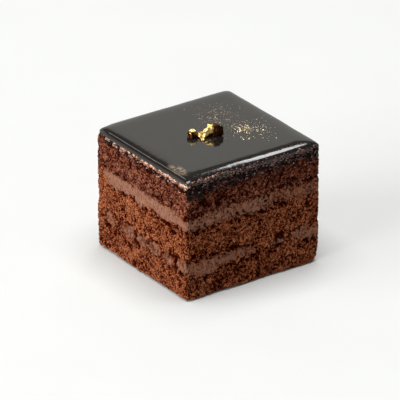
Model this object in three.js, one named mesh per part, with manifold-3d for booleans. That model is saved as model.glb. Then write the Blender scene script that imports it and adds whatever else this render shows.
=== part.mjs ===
// A square slice of chocolate layer cake: three sponges with two layers of chocolate cream between
// them, a mirror glaze poured on top, gold dust on the glaze and a crumpled piece of gold leaf.
//
// Millimetres, +Z up. The origin is the middle of the flat foot. The two cut faces that the corner
// (-X, -Y) joins are called left (it faces -X) and right (it faces -Y). Each layer is a closed body
// that runs through the whole slice, and the layers lie on each other with a hair of a gap.
import * as THREE from 'three';
import { ImprovedNoise } from 'three/addons/math/ImprovedNoise.js';
import { mergeVertices } from 'three/addons/utils/BufferGeometryUtils.js';
import Module from 'manifold-3d';

// ---- The block -------------------------------------------------------------------------------
const WIDTH = 65.4; // along X
const DEPTH = 64; // along Y
const CORNER_RADIUS = 1.5; // of the four upright edges, as a knife leaves them
const CORNER_STEPS = 3;
const COLUMN_STEP = 2.2; // spacing of the crumb's grid round the outline
const ROW_STEP = 2.0; // spacing of the crumb's grid up a cut face
const LAYER_GAP = 0.1; // between one layer and the next

// ---- The seams, from the foot to the underside of the glaze -----------------------------------
// Each wavers by waviness. A bump raises (or, below 0, lowers) its seam round one spot on a face.
const LEFT = -WIDTH / 2;
const RIGHT = WIDTH / 2;
const FRONT = -DEPTH / 2;
const BACK = DEPTH / 2;
const SEAMS = [
  { height: 0.8, waviness: 0.4, bumps: [{ x: RIGHT, y: FRONT, radius: 2.6, rise: 1.7 }] },
  {
    height: 11.5,
    waviness: 0.7,
    bumps: [
      { x: -4, y: FRONT, radius: 5, rise: 1.2 },
      { x: 20, y: FRONT, radius: 6, rise: 1.1 },
      { x: LEFT, y: 24, radius: 6, rise: 1.6 },
    ],
  },
  {
    height: 16.1,
    waviness: 0.5,
    bumps: [
      { x: 3, y: FRONT, radius: 5, rise: -1.2 },
      { x: LEFT, y: -2.5, radius: 4, rise: 0.8 },
      { x: LEFT, y: -24, radius: 5, rise: -0.9 },
    ],
  },
  {
    height: 31.1,
    waviness: 0.7,
    bumps: [
      { x: LEFT, y: 6.6, radius: 3, rise: 2.0 },
      { x: LEFT, y: 0, radius: 3.5, rise: -1.7 },
      { x: LEFT, y: 27, radius: 5, rise: 1.2 },
      { x: 14, y: FRONT, radius: 7, rise: 0.7 },
    ],
  },
  {
    height: 36.6,
    waviness: 0.45,
    bumps: [{ x: LEFT, y: -30, radius: 5, rise: -0.9 }],
  },
  { height: 50.9, waviness: 0.25, bumps: [] },
];
const SEAM_WAVELENGTH = 11;

// ---- The crumb -------------------------------------------------------------------------------
const FACE_HOLLOW = 0.3; // how far a cut face falls in, over a long way
const FACE_HOLLOW_WAVELENGTH = 14;
const DENTS = [
  { x: LEFT, y: BACK, z: 53.5, radius: 4.5, depth: 1.5 },
  { x: RIGHT, y: FRONT, z: 0, radius: 6, depth: 0.7 },
];
const CRAG_DEPTH = 1.2; // of the tears and holes in the sponge
const CRAG_WAVELENGTH = 4.1;
const CRAG_SHARE = 0.14; // how much of the noise's trough still counts as uncut face
const FOOT_INSET = 0.95; // the flat foot ends at this share of the way out

// ---- The glaze -------------------------------------------------------------------------------
const GLAZE_TOP = 53.2;
const GLAZE_SHOULDER_RADIUS = 1.6; // where the glaze turns over from its side
const GLAZE_SHOULDER_STEPS = 5;
const GLAZE_CORNER_RADIUS = 2.6; // of the top's four corners, from above
const MENISCUS_SLOPE = THREE.MathUtils.degToRad(22); // of the top where it meets the shoulder
const MENISCUS_REACH = 1.6; // the width over which that slope fades to the flat middle
const MENISCUS_STEPS = [0.45, 1, 1.8, 3, 4.8, 8]; // rings of the top, inside the shoulder

// ---- The gold --------------------------------------------------------------------------------
const LEAF_START = new THREE.Vector2(-8.7, 2.3);
const LEAF_END = new THREE.Vector2(4.2, -4.3);
const LEAF_THICKNESS = 0.3;
const LEAF_CLEARANCE = 0.05;
const LEAF_FLAP = 4.2; // length of the loose flap in front
const LEAF_FLAP_AT = 0.42; // its place along the leaf
const LEAF_STEPS_ALONG = 18;
const LEAF_STEPS_ACROSS = 10;
const LEAF_CREASE = 0.6; // depth of the crumpling
const LEAF_CREASE_WAVELENGTH = 3.1;
const GRAIN_SIZE = 0.34; // half the width of the dust's largest grains
const DUST_CLOUDS = [
  { x: 14.5, y: -4.5, spread: 2.2, grains: 20 },
  { x: 16.5, y: -10.5, spread: 4.2, grains: 20 },
  { x: 12.5, y: 9.5, spread: 4.5, grains: 16 },
];
const SLIVER = 0.01; // thinner triangles are merged away where the grains meet the glaze

const noiseField = new ImprovedNoise();
const { clamp, lerp } = THREE.MathUtils;

// The outline of the slice from above, or one inset from it, anticlockwise, as points with the
// direction that points out. Every outline has as many points, so they can be joined in rings.
function makeOutline(inset = 0, radius = CORNER_RADIUS) {
  const halfX = WIDTH / 2 - inset - radius;
  const halfY = DEPTH / 2 - inset - radius;
  const centres = [
    new THREE.Vector2(halfX, -halfY),
    new THREE.Vector2(halfX, halfY),
    new THREE.Vector2(-halfX, halfY),
    new THREE.Vector2(-halfX, -halfY),
  ];
  const points = [];
  centres.forEach((centre, index) => {
    const startAngle = (index - 1) * (Math.PI / 2);
    for (let step = 0; step <= CORNER_STEPS; step++) {
      const angle = startAngle + (step / CORNER_STEPS) * (Math.PI / 2);
      const out = new THREE.Vector2(Math.cos(angle), Math.sin(angle));
      points.push({ at: centre.clone().addScaledVector(out, radius), out });
    }
    const last = points[points.length - 1];
    const side = centres[(index + 1) % 4].clone().sub(centre);
    const steps = Math.round((index % 2 === 0 ? DEPTH : WIDTH) / COLUMN_STEP);
    for (let step = 1; step < steps; step++) {
      points.push({ at: last.at.clone().addScaledVector(side, step / steps), out: last.out });
    }
  });
  return points;
}

const OUTLINE = makeOutline();

function seamHeight(index, at) {
  const seam = SEAMS[index];
  const waver = noiseField.noise(at.x / SEAM_WAVELENGTH, at.y / SEAM_WAVELENGTH, 3.7 * index + 0.5);
  const bumps = seam.bumps.reduce((sum, bump) => {
    const away = Math.hypot(at.x - bump.x, at.y - bump.y) / bump.radius;
    return sum + bump.rise * Math.exp(-away * away);
  }, 0);
  return seam.height + seam.waviness * waver * 2 + bumps;
}

// How far the long, shallow hollows and the dents of a cut face lie inside its flat plane.
function faceHollow(point) {
  const scale = FACE_HOLLOW_WAVELENGTH;
  const swell = noiseField.noise(point.x / scale, point.y / scale, point.z / scale);
  const dents = DENTS.reduce((sum, dent) => {
    const away = Math.hypot(point.x - dent.x, point.y - dent.y, point.z - dent.z) / dent.radius;
    return sum + dent.depth * Math.exp(-away * away);
  }, 0);
  return FACE_HOLLOW * clamp(0.35 + swell, 0, 1) + dents;
}

// How far the crumb's tears and holes lie inside that, the larger noise broken up by a finer one.
function cragDepth(point) {
  const wide = CRAG_WAVELENGTH;
  const fine = CRAG_WAVELENGTH / 2.1;
  const tears = noiseField.noise(point.x / wide, point.y / wide, point.z / wide + 9.1);
  const holes = noiseField.noise(point.x / fine, point.y / fine, point.z / fine + 4.3);
  return CRAG_DEPTH * clamp(tears + 0.6 * holes - CRAG_SHARE, 0, 1);
}

// A closed body of rings round the Z axis, one for each entry of profile, from the underside's
// middle out, up the side and in again. place gives the point of one ring at one outline column.
function ringBody(profile, place) {
  const rings = profile.map((ring, index) => new THREE.Vector2(index % (profile.length - 1), index));
  const geometry = new THREE.LatheGeometry(rings, OUTLINE.length);
  const position = geometry.getAttribute('position');
  for (let i = 0; i < position.count; i++) {
    const column = Math.floor(i / profile.length) % OUTLINE.length;
    const point = place(column, profile[i % profile.length]);
    position.setXYZ(i, point.x, point.y, point.z);
  }
  geometry.deleteAttribute('normal');
  geometry.deleteAttribute('uv');
  return mergeVertices(geometry, 1e-4);
}

// One sponge or cream between two seams. share is 0 on the axis and 1 at the cut faces, and level
// is 0 at the lower seam and 1 at the upper.
function layerGeometry(index, isCrumb) {
  const thickness = SEAMS[index + 1].height - SEAMS[index].height;
  const rows = isCrumb ? Math.round(thickness / ROW_STEP) : 2;
  const profile = [{ share: 0, level: 0 }];
  if (index === 0) {
    profile.push({ share: FOOT_INSET, level: 0 });
  }
  for (let row = 0; row <= rows; row++) {
    profile.push({ share: 1, level: row / rows });
  }
  profile.push({ share: 0, level: 1 });

  return ringBody(profile, (column, { share, level }) => {
    const { at, out } = OUTLINE[column];
    const spot = share === 0 ? new THREE.Vector2() : at;
    const isFoot = index === 0 && level === 0 && share < 1;
    const low = isFoot ? 0 : Math.max(0, seamHeight(index, spot)) + LAYER_GAP / 2;
    const high = seamHeight(index + 1, spot) - LAYER_GAP / 2;
    const point = new THREE.Vector3(spot.x, spot.y, lerp(low, high, level));
    const isInside = level > 0 && level < 1;
    const inset = faceHollow(point) + (isCrumb && isInside ? cragDepth(point) : 0);
    point.x = (point.x - out.x * inset) * share;
    point.y = (point.y - out.y * inset) * share;
    return point;
  });
}

// The glaze stands on the top seam, rises from the crumb's rim in a rounded shoulder and then
// more and more gently, as a poured glaze does, to a flat middle.
function glazeGeometry() {
  const seam = SEAMS.length - 1;
  const turn = Math.PI / 2 - MENISCUS_SLOPE;
  const drop = MENISCUS_REACH * Math.tan(MENISCUS_SLOPE);
  const shoulderWidth = GLAZE_SHOULDER_RADIUS * (1 - Math.cos(turn));
  const shoulderFoot = GLAZE_TOP - drop - GLAZE_SHOULDER_RADIUS * Math.sin(turn);
  const ring = (inset, height) => ({ height, outline: makeOutline(inset, glazeCorner(inset / shoulderWidth)) });
  const profile = [{ onAxis: true }, { isRim: true, ...ring(0, 0) }];
  for (let step = 0; step <= GLAZE_SHOULDER_STEPS; step++) {
    const angle = (step / GLAZE_SHOULDER_STEPS) * turn;
    const inset = GLAZE_SHOULDER_RADIUS * (1 - Math.cos(angle));
    profile.push(ring(inset, shoulderFoot + GLAZE_SHOULDER_RADIUS * Math.sin(angle)));
  }
  for (const past of MENISCUS_STEPS) {
    profile.push(ring(shoulderWidth + past, GLAZE_TOP - drop * Math.exp(-past / MENISCUS_REACH)));
  }
  profile[profile.length - 1].height = GLAZE_TOP;
  profile.push({ onAxis: true, height: GLAZE_TOP });

  return ringBody(profile, (column, { onAxis, isRim, height, outline }) => {
    const { at, out } = OUTLINE[column];
    const rim = (spot) => seamHeight(seam, spot) + LAYER_GAP / 2;
    if (onAxis) {
      return new THREE.Vector3(0, 0, height ?? rim(new THREE.Vector2()));
    }
    const hollow = faceHollow(new THREE.Vector3(at.x, at.y, rim(at)));
    const spot = outline[column].at.clone().addScaledVector(out, -hollow);
    return new THREE.Vector3(spot.x, spot.y, isRim ? rim(at) : height);
  });
}

// The glaze's corners grow rounder than the crumb's over the shoulder, as share goes from 0 to 1.
function glazeCorner(share) {
  return lerp(CORNER_RADIUS, GLAZE_CORNER_RADIUS, clamp(share, 0, 1));
}

// A number from 0 to 1 that depends only on its place in a list, for scattering the dust.
function scatter(index, salt) {
  const wave = Math.sin(index * 12.9898 + salt * 78.233) * 43758.5453;
  return wave - Math.floor(wave);
}

// The largest grains of the gold dust: flat lozenges half sunk in the glaze's flat top.
function dustGrains() {
  const grains = [];
  for (const cloud of DUST_CLOUDS) {
    for (let count = 0; count < cloud.grains; count++) {
      const index = grains.length;
      const reach = cloud.spread * Math.sqrt(-2 * Math.log(1 - 0.95 * scatter(index, 1)));
      const bearing = 2 * Math.PI * scatter(index, 2);
      const grain = new THREE.OctahedronGeometry(GRAIN_SIZE * lerp(0.6, 1, scatter(index, 3)));
      grain.scale(1, 0.7, 0.45);
      grain.rotateZ(2 * Math.PI * scatter(index, 4));
      const x = cloud.x + reach * Math.cos(bearing);
      const y = cloud.y + reach * Math.sin(bearing);
      grain.translate(x, y, GLAZE_TOP);
      grains.push(grain);
    }
  }
  return grains;
}

// Curves along the leaf, from its small left lobe over a neck to its tall right one.
const alongLeaf = (...values) =>
  new THREE.SplineCurve(values.map((value, index) => new THREE.Vector2(index / (values.length - 1), value)));
const LEAF_RIDGE = alongLeaf(1.2, 2.6, 1.9, 0.7, 2.4, 4.1, 4.4, 4.3, 3.2);
const LEAF_FRONT = alongLeaf(0.8, 2.0, 1.4, 0.9, 0.8, 0.8, 1.0, 1.3, 0.9);
const LEAF_BACK = alongLeaf(0.6, 1.2, 0.9, 0.8, 1.8, 2.8, 3.0, 2.6, 1.4);

// A sharp fold, from -1 to 1 and back over each unit of its argument.
function fold(argument) {
  return 4 * Math.abs(argument - Math.round(argument)) - 1;
}

// The crumpling of the foil: three families of sharp folds that cross each other.
function crumple(x, y, seed) {
  const scale = LEAF_CREASE_WAVELENGTH;
  const wander = noiseField.noise(x / scale, y / scale, seed);
  return (
    0.5 * fold((0.9 * x + 0.5 * y) / scale + 0.8 * wander + seed) +
    0.35 * fold((0.4 * x - 1.2 * y) / scale + 0.3 * seed) +
    0.3 * fold((1.7 * x - 0.8 * y) / scale + 0.7 * seed)
  );
}

// A point of the leaf's sheet. along runs from 0 to 1 over its length, and across from -1 at the
// edge that faces the front to 1 at the back edge. The sheet stands up as a tent between them.
function leafPoint(along, across) {
  const axis = LEAF_END.clone().sub(LEAF_START);
  const toBack = new THREE.Vector2(-axis.y, axis.x).normalize();
  const flap = LEAF_FLAP * Math.exp(-(((along - LEAF_FLAP_AT) / 0.07) ** 2));
  const reach = across < 0 ? LEAF_FRONT.getPoint(along).y + flap : LEAF_BACK.getPoint(along).y;
  const flat = LEAF_START.clone().addScaledVector(axis, along).addScaledVector(toBack, across * reach);
  const crease = (seed) => LEAF_CREASE * crumple(flat.x, flat.y, seed);
  const tent = LEAF_RIDGE.getPoint(along).y * (1 - Math.abs(across) ** 2.2);
  const height = Math.max(0, tent + 0.9 * crease(0.4));
  return new THREE.Vector3(
    flat.x + 0.8 * crease(0.15),
    flat.y + 0.8 * crease(0.62),
    GLAZE_TOP + LEAF_CLEARANCE + height,
  );
}

// The leaf as a thin closed sheet: an upper and a lower face, split into triangles alike, and a rim.
function leafGeometry() {
  const wide = LEAF_STEPS_ACROSS + 1;
  const count = wide * (LEAF_STEPS_ALONG + 1);
  const vertices = [];
  for (const lift of [LEAF_THICKNESS, 0]) {
    for (let row = 0; row <= LEAF_STEPS_ALONG; row++) {
      for (let step = 0; step < wide; step++) {
        const point = leafPoint(row / LEAF_STEPS_ALONG, (2 * step) / LEAF_STEPS_ACROSS - 1);
        vertices.push(point.x, point.y, point.z + lift);
      }
    }
  }
  const triangles = [];
  const rim = [];
  for (let row = 0; row < LEAF_STEPS_ALONG; row++) {
    for (let step = 0; step < LEAF_STEPS_ACROSS; step++) {
      const a = row * wide + step;
      const [b, c, d] = [a + 1, a + wide, a + wide + 1];
      triangles.push(a, c, b, b, c, d);
      triangles.push(a + count, b + count, c + count, b + count, d + count, c + count);
    }
  }
  for (let step = 0; step < LEAF_STEPS_ACROSS; step++) {
    rim.push([step, step + 1], [count - 1 - step, count - 2 - step]);
  }
  for (let row = 0; row < LEAF_STEPS_ALONG; row++) {
    rim.push([(row + 1) * wide, row * wide], [row * wide + wide - 1, (row + 1) * wide + wide - 1]);
  }
  for (const [from, to] of rim) {
    triangles.push(from, to, from + count, to, to + count, from + count);
  }
  const geometry = new THREE.BufferGeometry();
  geometry.setAttribute('position', new THREE.Float32BufferAttribute(vertices, 3));
  geometry.setIndex(triangles);
  return geometry;
}

const wasm = await Module();
wasm.setup();

function toSolid(geometry) {
  geometry.deleteAttribute('normal');
  geometry.deleteAttribute('uv');
  const merged = mergeVertices(geometry, 1e-4);
  return new wasm.Manifold(
    new wasm.Mesh({
      numProp: 3,
      vertProperties: new Float32Array(merged.getAttribute('position').array),
      triVerts: new Uint32Array(merged.index.array),
    }),
  );
}

function toGeometry(solid) {
  const mesh = solid.getMesh();
  const geometry = new THREE.BufferGeometry();
  geometry.setAttribute('position', new THREE.BufferAttribute(mesh.vertProperties, 3));
  geometry.setIndex(new THREE.BufferAttribute(mesh.triVerts, 1));
  return geometry;
}

// The dust is fused to the glaze that it lies on, and slivers where they meet are smoothed away.
function dustedGlazeGeometry() {
  const bare = toSolid(glazeGeometry()).asOriginal();
  const dusted = dustGrains().reduce((solid, grain) => solid.add(toSolid(grain)), bare);
  return toGeometry(dusted.asOriginal().simplify(SLIVER));
}

const finish = (color, roughness, metalness = 0) =>
  new THREE.MeshStandardMaterial({ color, roughness, metalness });
const sponge = finish('#6f3420', 0.95);
const cream = finish('#8a5a45', 0.7);
const mirrorGlaze = finish('#1b1513', 0.08);
const goldLeaf = finish('#e0a93a', 0.3, 1);

const slice = new THREE.Group();

function addPiece(name, geometry, material) {
  geometry.computeVertexNormals();
  const mesh = new THREE.Mesh(geometry, material);
  mesh.name = name;
  slice.add(mesh);
}

addPiece('sponge_bottom', layerGeometry(0, true), sponge);
addPiece('cream_lower', layerGeometry(1, false), cream);
addPiece('sponge_middle', layerGeometry(2, true), sponge);
addPiece('cream_upper', layerGeometry(3, false), cream);
addPiece('sponge_top', layerGeometry(4, true), sponge);
addPiece('glaze', dustedGlazeGeometry(), mirrorGlaze);
addPiece('gold_leaf', leafGeometry(), goldLeaf);

export default slice;
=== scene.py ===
"""A square slice of chocolate layer cake with a mirror glaze, gold dust and gold leaf."""

import bisect
import math
import random

import bmesh
import bpy
from bpy.props import FloatProperty, FloatVectorProperty, IntProperty, PointerProperty
from mathutils import Matrix, Vector, noise


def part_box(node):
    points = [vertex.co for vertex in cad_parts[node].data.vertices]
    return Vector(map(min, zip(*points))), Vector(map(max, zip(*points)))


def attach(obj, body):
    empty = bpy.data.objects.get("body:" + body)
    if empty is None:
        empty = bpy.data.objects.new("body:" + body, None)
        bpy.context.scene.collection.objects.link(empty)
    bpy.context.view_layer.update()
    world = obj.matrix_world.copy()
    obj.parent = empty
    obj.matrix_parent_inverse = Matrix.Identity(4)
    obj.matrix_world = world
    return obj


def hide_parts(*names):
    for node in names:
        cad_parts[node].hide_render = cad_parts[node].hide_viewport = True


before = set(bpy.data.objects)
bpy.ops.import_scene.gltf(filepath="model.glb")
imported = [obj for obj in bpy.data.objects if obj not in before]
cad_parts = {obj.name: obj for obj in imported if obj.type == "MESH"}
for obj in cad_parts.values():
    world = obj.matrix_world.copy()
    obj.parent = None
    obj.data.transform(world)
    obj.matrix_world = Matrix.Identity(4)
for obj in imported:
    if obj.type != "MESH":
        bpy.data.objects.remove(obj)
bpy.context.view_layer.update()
noise.seed_set(3)  # noise_vector takes its offsets from this, and from the clock without it

bl_info = {
    "name": "Chocolate Cake Slice",
    "version": (1, 0, 0),
    "blender": (4, 5, 0),
    "location": "3D View > Sidebar > Cake",
    "description": "Builds the crumb, cream, glaze and gold of a slice of chocolate layer cake",
    "category": "Add Mesh",
}

MM = 0.001
CORNER_RADIUS = 1.5  # mm, of the slice's upright edges
GLAZE_SEAM = 50.9  # mm, where the glaze meets the crumb
GLAZE_TOP = 53.2  # mm
SPONGES = {  # name: how moist from 0 to 1, and which of its rims touch cream
    "sponge_bottom": (0.45, "top"),
    "sponge_middle": (0.35, "both"),
    "sponge_top": (1.0, "foot"),
}
CREAMS = ("cream_lower", "cream_upper")
HALF_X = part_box("sponge_middle")[1].x / MM
HALF_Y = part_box("sponge_middle")[1].y / MM

# Sizes of the patterns in the materials, in mm.
TORN_GRAIN = 0.42  # crumb torn by the knife; the real grain is about half of that, too fine to show
WET_GRAIN = 0.5
DAMP_PATCH = 2.6  # where a sponge holds more syrup
SYRUP_BEAD = 0.9
KNIFE_STREAK = 0.9  # width of a streak in wiped cream
STREAK_RISE = 2.5  # how many times as tall as wide a streak is
GLAZE_CLOUD = 9.0
GLAZE_RIPPLE = 3.5
GLAZE_HAZE = 0.9
THIN_SPECKLE = 1.6
THIN_PATCH = Vector((-28.8, -20.6, GLAZE_TOP))  # where crumb shows through the glaze, by the front corner
THIN_REACH = Vector((2.7, 7.0, 2.0))
LEAF_WRINKLE = 0.7


# ---- Colours, nodes and materials ------------------------------------------------------------


def srgb(code):
    """A hex colour as linear red, green and blue."""
    parts = [int(code[i : i + 2], 16) / 255 for i in (1, 3, 5)]
    return tuple(c / 12.92 if c <= 0.04045 else ((c + 0.055) / 1.055) ** 2.4 for c in parts)


def add_node(tree, kind, settings=None, links=None):
    """A node of that kind, with its settings, and with values or other nodes' outputs on its inputs."""
    node = tree.nodes.new(kind)
    for name, value in (settings or {}).items():
        setattr(node, name, value)
    for name, value in (links or {}).items():
        if isinstance(value, bpy.types.NodeSocket):
            tree.links.new(value, node.inputs[name])
        else:
            if isinstance(value, tuple) and len(value) == 3 and node.inputs[name].type == "RGBA":
                value = (*value, 1.0)
            node.inputs[name].default_value = value
    return node


def new_material(name):
    """An empty material, its node tree and its Principled BSDF."""
    material = bpy.data.materials.new(name)
    material.use_nodes = True
    tree = material.node_tree
    tree.nodes.clear()
    shader = add_node(tree, "ShaderNodeBsdfPrincipled")
    add_node(tree, "ShaderNodeOutputMaterial", links={"Surface": shader.outputs["BSDF"]})
    return material, tree, shader


def mix_colour(tree, share, first, second):
    """The colour output of a mix from first to second, each a colour or another node's output."""
    node = add_node(tree, "ShaderNodeMix", {"data_type": "RGBA", "clamp_factor": True})
    for index, value in ((0, share), (6, first), (7, second)):
        if isinstance(value, bpy.types.NodeSocket):
            tree.links.new(value, node.inputs[index])
        else:
            node.inputs[index].default_value = (*value, 1.0)
    return node.outputs[2]


def pattern(tree, size, detail=2.0, roughness=0.5, rise=1.0):
    """Noise with lumps of about size millimetres, rise times as tall as wide. Its values lie round 0.5."""
    place = add_node(tree, "ShaderNodeTexCoord").outputs["Object"]
    drawn = add_node(tree, "ShaderNodeMapping", links={"Vector": place, "Scale": (1.0, 1.0, 1 / rise)})
    links = {
        "Vector": drawn.outputs["Vector"],
        "Scale": 1 / (size * MM),
        "Detail": detail,
        "Roughness": roughness,
    }
    return add_node(tree, "ShaderNodeTexNoise", links=links).outputs["Fac"]


def ramp(tree, value, low, high, to_low=0.0, to_high=1.0):
    """value, spread so that low goes to to_low and high to to_high, and held there past them."""
    links = {"Value": value, "From Min": low, "From Max": high, "To Min": to_low, "To Max": to_high}
    return add_node(tree, "ShaderNodeMapRange", {"clamp": True}, links).outputs["Result"]


def attribute(tree, name):
    """A number that the mesh stores at each of its points."""
    return add_node(tree, "ShaderNodeAttribute", {"attribute_name": name}).outputs["Fac"]


def cut_cake_material(name, crumb, cream, moisture=0.25):
    """Cut cake: torn, matt sponge and the cream and glaze that the knife has dragged over it.

    Crumb is painted palest along its torn edges, partly dry crumb and partly painted highlight, and darkens
    down into the pores as painted shade, since they let little light back out. Cream reads smoother and
    paler, and soaked crumb is black and wet.
    """
    material, tree, shader = new_material(name)
    pore, creamed, soak = (attribute(tree, layer) for layer in ("pore", "cream", "soak"))
    fine = pattern(tree, TORN_GRAIN, 2.0, 0.7)
    torn = ramp(tree, fine, 0.2, 0.8, 0.62 + 0.12 * moisture, -0.62 + 0.12 * moisture)
    deep = add_node(tree, "ShaderNodeMath", {"operation": "ADD"}, {0: pore, 1: torn}).outputs[0]
    # Painted highlight and shade: the ridges are painted palest, and the colour darkens with depth to near
    # black at the bottom of the pores.
    ridge = mix_colour(tree, ramp(tree, deep, 0.0, 0.32), crumb.dry_highlight_colour, crumb.crumb_colour)
    damp = ramp(tree, pattern(tree, DAMP_PATCH, 3.0, 0.6), 0.4, 0.62, 0.2 * moisture, 0.8 * moisture)
    moist = mix_colour(tree, damp, ridge, crumb.moist_and_shade_colour)
    hollow_shade = mix_colour(tree, ramp(tree, deep, 0.22, 0.46), moist, crumb.moist_and_shade_colour)
    sponge = mix_colour(tree, ramp(tree, deep, 0.42, 0.6), hollow_shade, crumb.pore_shade_colour)
    streak = ramp(tree, pattern(tree, KNIFE_STREAK, 3.0, 0.6, STREAK_RISE), 0.35, 0.68)
    wiped = mix_colour(tree, streak, cream.shade_colour, cream.cream_colour)
    cake = mix_colour(tree, creamed, sponge, wiped)
    # Soaked crumb: moist brown on its ridges, painted darker with depth as shade.
    glazed = mix_colour(tree, ramp(tree, deep, -0.2, 0.28), crumb.moist_and_shade_colour, crumb.soak_colour)
    tree.links.new(mix_colour(tree, soak, cake, glazed), shader.inputs["Base Color"])

    matt = ramp(tree, creamed, 0.0, 1.0, 0.9 - 0.4 * moisture, 0.6)
    rough = add_node(tree, "ShaderNodeMix", links={0: soak, 2: matt, 3: 0.24}).outputs[0]
    tree.links.new(rough, shader.inputs["Roughness"])
    dull = ramp(tree, deep, 0.2, 0.6, 0.04 + 0.18 * moisture**2, 0.01)
    shine = add_node(tree, "ShaderNodeMix", links={0: creamed, 2: dull, 3: 0.18}).outputs[0]
    wet_shine = add_node(tree, "ShaderNodeMix", links={0: soak, 2: shine, 3: 0.07}).outputs[0]
    tree.links.new(wet_shine, shader.inputs["Specular IOR Level"])
    strength = ramp(tree, creamed, 0.0, 1.0, 1.0, 0.3)
    relief = {"Height": fine, "Strength": strength, "Distance": 0.3 * MM}
    tree.links.new(add_node(tree, "ShaderNodeBump", links=relief).outputs["Normal"], shader.inputs["Normal"])
    shader.inputs["IOR"].default_value = 1.45
    return material


def wet_crumb_material(crumb):
    """Crumbs that glaze has wetted: some still pale, partly pale crumb and partly painted highlight, some
    black, and all with small sharp glints.
    """
    material, tree, shader = new_material("Wet chocolate crumb")
    grain = ramp(tree, pattern(tree, WET_GRAIN, 2.0, 0.6), 0.4, 0.65)
    dark = mix_colour(tree, grain, crumb.soak_colour, crumb.moist_and_shade_colour)
    light = mix_colour(tree, grain, crumb.dry_highlight_colour, crumb.wet_highlight_colour)
    tree.links.new(mix_colour(tree, attribute(tree, "pale"), dark, light), shader.inputs["Base Color"])
    relief = {"Height": pattern(tree, 0.6 * WET_GRAIN, 2.0), "Strength": 0.6, "Distance": 0.15 * MM}
    tree.links.new(add_node(tree, "ShaderNodeBump", links=relief).outputs["Normal"], shader.inputs["Normal"])
    syrup = ramp(tree, pattern(tree, SYRUP_BEAD, 2.0), 0.42, 0.6, 0.1, 1.1)
    tree.links.new(syrup, shader.inputs["Specular IOR Level"])
    shader.inputs["Roughness"].default_value = 0.14
    shader.inputs["IOR"].default_value = 1.45
    return material


def glaze_material(settings):
    """Dark chocolate mirror glaze, poured warm: almost black, wet-looking and sharp in reflection."""
    material, tree, shader = new_material("Dark chocolate mirror glaze")
    tint = mix_colour(tree, pattern(tree, GLAZE_CLOUD, 2.0), settings.glaze_colour, settings.glaze_shade)
    links = {
        "Vector": add_node(tree, "ShaderNodeTexCoord").outputs["Object"],
        "Location": tuple(-c / r for c, r in zip(THIN_PATCH, THIN_REACH)),
        "Scale": tuple(1 / (r * MM) for r in THIN_REACH),
    }
    local = add_node(tree, "ShaderNodeMapping", links=links).outputs["Vector"]
    ball = add_node(tree, "ShaderNodeTexGradient", {"gradient_type": "SPHERICAL"}, {"Vector": local})
    patch = ramp(tree, ball.outputs["Fac"], 0.0, 0.5)
    speckle = ramp(tree, pattern(tree, THIN_SPECKLE, 3.0, 0.7), 0.36, 0.62)
    thin = add_node(tree, "ShaderNodeMath", {"operation": "MULTIPLY"}, {0: patch, 1: speckle}).outputs[0]
    tree.links.new(mix_colour(tree, thin, tint, settings.thin_colour), shader.inputs["Base Color"])
    ripple = {"Height": pattern(tree, GLAZE_RIPPLE, 1.0), "Strength": 0.3, "Distance": 0.06 * MM}
    tree.links.new(add_node(tree, "ShaderNodeBump", links=ripple).outputs["Normal"], shader.inputs["Normal"])
    haze = ramp(tree, pattern(tree, GLAZE_HAZE, 3.0), 0.35, 0.7, 0.05, 0.11)
    tree.links.new(haze, shader.inputs["Roughness"])
    shader.inputs["IOR"].default_value = 1.5
    return material


def gold_material(name, bright, shade, painted_shade, roughness):
    """Beaten gold: a metal whose creases mirror dark and bright by turns, never one flat yellow.

    Where the leaf folds under or turns away, painted shade leaves it nearly black.
    """
    material, tree, shader = new_material(name)
    wrinkle = pattern(tree, LEAF_WRINKLE, 3.0, 0.6)
    # Mottled between the pale and the deep gold along the wrinkle pattern: partly the gold's own uneven tone
    # and partly painted shade.
    tone = mix_colour(tree, ramp(tree, wrinkle, 0.35, 0.65), bright, shade)
    # Painted shade: the attribute turns the gold nearly black where the leaf is shaded.
    tree.links.new(mix_colour(tree, attribute(tree, "painted_shade"), tone, painted_shade), shader.inputs["Base Color"])
    relief = {"Height": wrinkle, "Strength": 0.15, "Distance": 0.1 * MM}
    tree.links.new(add_node(tree, "ShaderNodeBump", links=relief).outputs["Normal"], shader.inputs["Normal"])
    shader.inputs["Metallic"].default_value = 1.0
    shader.inputs["Roughness"].default_value = roughness
    return material


# ---- Shapes ----------------------------------------------------------------------------------


def node_copy(name):
    """A CAD node's mesh as a bmesh, its doubles merged."""
    shape = bmesh.new()
    shape.from_mesh(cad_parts[name].data)
    bmesh.ops.remove_doubles(shape, verts=shape.verts, dist=0.001 * MM)
    return shape


def add_piece(shape, name, material, nodes=(), smooth=True):
    """The finished bmesh as an object that rides on the cake and stands for its nodes."""
    mesh = bpy.data.meshes.new(name)
    for face in shape.faces:
        face.smooth = smooth
    shape.to_mesh(mesh)
    shape.free()
    mesh.materials.append(material)
    piece = bpy.data.objects.new(name, mesh)
    bpy.context.scene.collection.objects.link(piece)
    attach(piece, "root")
    if nodes:
        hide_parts(*nodes)
    return piece


def clamp(value, low=0.0, high=1.0):
    """value, held between low and high."""
    return max(low, min(high, value))


def smooth_step(value, low, high):
    """0 up to low, 1 from high, and a soft rise between them."""
    share = clamp((value - low) / (high - low))
    return share * share * (3 - 2 * share)


def side_faces(shape):
    """The faces of a layer's sides: those that don't reach the middle of its flat top or foot."""
    return [f for f in shape.faces if all(v.co.xy.length > MM for v in f.verts)]


def rim_points(shape):
    """The points round a layer's flat top and foot, and the one in the middle of each."""
    return {v for f in shape.faces if any(w.co.xy.length < MM for w in f.verts) for v in f.verts}


def join_triangles(shape, faces):
    """Joins the triangles in pairs, because four-sided faces divide and smooth more evenly."""
    bmesh.ops.join_triangles(
        shape, faces=faces, angle_face_threshold=math.pi, angle_shape_threshold=math.pi)


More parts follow.
